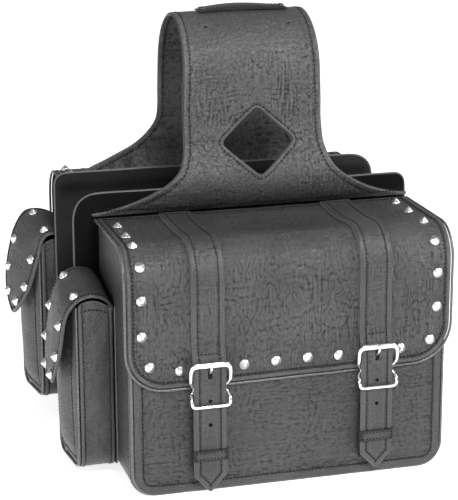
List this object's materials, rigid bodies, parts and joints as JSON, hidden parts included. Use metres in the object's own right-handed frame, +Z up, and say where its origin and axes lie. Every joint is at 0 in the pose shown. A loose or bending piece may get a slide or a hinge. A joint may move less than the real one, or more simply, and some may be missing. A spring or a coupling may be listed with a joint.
{
  "type": "saddlebag",
  "caption": "Throw-over motorcycle saddlebags joined by a yoke: studded lids, buckled straps, flapped end pockets, stiff backer boards, a diamond cut-out and a carry handle.",
  "frame": {"origin": "on the floor, at the centre of the bounding box's underside; the two bags stand on z = 0", "axes": "+X along the bags, away from the end pockets; +Y from the near bag to the far bag; +Z up"},
  "size_m": [0.4598, 0.4844, 0.5314],
  "materials": {
    "grained_leather": "semi-gloss embossed grain",
    "piping": "smooth glossy piping",
    "backer_board": "smooth matte",
    "lining": "matte",
    "stiffener": "matte",
    "chrome_hardware": "polished",
    "clip_plastic": "moulded satin",
    "hook_and_loop": "matte pile",
    "dark_rivet": "satin black"
  },
  "bodies": {
    "yoke": {"yoke_leather": "grained_leather", "yoke_lining": "lining", "handle": "grained_leather", "handle_rivets": "dark_rivet"},
    "near_bag": {"near_front_panel": "grained_leather", "near_back_panel": "grained_leather", "near_end_panel_l": "grained_leather", "near_end_panel_r": "grained_leather", "near_base_panel": "grained_leather", "near_bag_piping": "piping", "near_backer_board": "backer_board", "near_pocket_back": "grained_leather", "near_pocket_gusset": "grained_leather", "near_pocket_panel": "grained_leather", "near_pocket_loop_pad": "hook_and_loop", "near_clip_sockets": "clip_plastic"},
    "near_lid_assembly": {"near_lid": "grained_leather", "near_lid_stiffener": "stiffener", "near_lid_piping": "piping", "near_lid_studs": "chrome_hardware", "near_lid_straps": "grained_leather", "near_chapes": "grained_leather", "near_keepers": "grained_leather"},
    "near_flap_assembly": {"near_pocket_flap": "grained_leather", "near_pocket_hook_pad": "hook_and_loop", "near_pocket_flap_studs": "chrome_hardware"},
    "near_clip_l": {"near_clip_tongue_l": "clip_plastic"},
    "near_buckle_l": {"near_buckle_frame_l": "chrome_hardware", "near_buckle_prong_l": "chrome_hardware"},
    "near_clip_r": {"near_clip_tongue_r": "clip_plastic"},
    "near_buckle_r": {"near_buckle_frame_r": "chrome_hardware", "near_buckle_prong_r": "chrome_hardware"},
    "far_bag": {"far_front_panel": "grained_leather", "far_back_panel": "grained_leather", "far_end_panel_l": "grained_leather", "far_end_panel_r": "grained_leather", "far_base_panel": "grained_leather", "far_bag_piping": "piping", "far_backer_board": "backer_board", "far_pocket_back": "grained_leather", "far_pocket_gusset": "grained_leather", "far_pocket_panel": "grained_leather", "far_pocket_loop_pad": "hook_and_loop", "far_clip_sockets": "clip_plastic"},
    "far_lid_assembly": {"far_lid": "grained_leather", "far_lid_stiffener": "stiffener", "far_lid_piping": "piping", "far_lid_studs": "chrome_hardware", "far_lid_straps": "grained_leather", "far_chapes": "grained_leather", "far_keepers": "grained_leather"},
    "far_flap_assembly": {"far_pocket_flap": "grained_leather", "far_pocket_hook_pad": "hook_and_loop", "far_pocket_flap_studs": "chrome_hardware"},
    "far_clip_l": {"far_clip_tongue_l": "clip_plastic"},
    "far_buckle_l": {"far_buckle_frame_l": "chrome_hardware", "far_buckle_prong_l": "chrome_hardware"},
    "far_clip_r": {"far_clip_tongue_r": "clip_plastic"},
    "far_buckle_r": {"far_buckle_frame_r": "chrome_hardware", "far_buckle_prong_r": "chrome_hardware"}
  },
  "joints": [
    {"name": "near_bag_swing", "type": "hinge", "parent": "yoke", "child": "near_bag", "pos_m": [0.03288, -0.0665, 0.2926], "axis": [-1, 0, 0], "range_deg": [0, 12]},
    {"name": "near_lid_hinge", "type": "hinge", "parent": "near_bag", "child": "near_lid_assembly", "pos_m": [0.03288, -0.0687, 0.294], "axis": [-1, 0, 0], "range_deg": [0, 70]},
    {"name": "near_pocket_flap_hinge", "type": "hinge", "parent": "near_bag", "child": "near_flap_assembly", "pos_m": [-0.17352, -0.109, 0.2385], "axis": [0, 1, 0], "range_deg": [0, 100]},
    {"name": "near_clip_l_release", "type": "slide", "parent": "near_bag", "child": "near_clip_l", "axis": [0, 0, 1], "range_m": [0, 0.022]},
    {"name": "near_buckle_l_rock", "type": "hinge", "parent": "near_lid_assembly", "child": "near_buckle_l", "pos_m": [-0.06712, -0.22845, 0.1295], "axis": [1, 0, 0], "range_deg": [-2, 2]},
    {"name": "near_clip_r_release", "type": "slide", "parent": "near_bag", "child": "near_clip_r", "axis": [0, 0, 1], "range_m": [0, 0.022]},
    {"name": "near_buckle_r_rock", "type": "hinge", "parent": "near_lid_assembly", "child": "near_buckle_r", "pos_m": [0.13288, -0.22845, 0.1328], "axis": [1, 0, 0], "range_deg": [-2, 2]},
    {"name": "far_bag_swing", "type": "hinge", "parent": "yoke", "child": "far_bag", "pos_m": [0.03288, 0.0665, 0.2926], "axis": [1, 0, 0], "range_deg": [0, 12]},
    {"name": "far_lid_hinge", "type": "hinge", "parent": "far_bag", "child": "far_lid_assembly", "pos_m": [0.03288, 0.0687, 0.294], "axis": [1, 0, 0], "range_deg": [0, 70]},
    {"name": "far_pocket_flap_hinge", "type": "hinge", "parent": "far_bag", "child": "far_flap_assembly", "pos_m": [-0.17352, 0.109, 0.2515], "axis": [0, 1, 0], "range_deg": [0, 100]},
    {"name": "far_clip_l_release", "type": "slide", "parent": "far_bag", "child": "far_clip_l", "axis": [0, 0, 1], "range_m": [0, 0.022]},
    {"name": "far_buckle_l_rock", "type": "hinge", "parent": "far_lid_assembly", "child": "far_buckle_l", "pos_m": [-0.06712, 0.22845, 0.1295], "axis": [1, 0, 0], "range_deg": [-2, 2]},
    {"name": "far_clip_r_release", "type": "slide", "parent": "far_bag", "child": "far_clip_r", "axis": [0, 0, 1], "range_m": [0, 0.022]},
    {"name": "far_buckle_r_rock", "type": "hinge", "parent": "far_lid_assembly", "child": "far_buckle_r", "pos_m": [0.13288, 0.22845, 0.1328], "axis": [1, 0, 0], "range_deg": [-2, 2]}
  ]
}
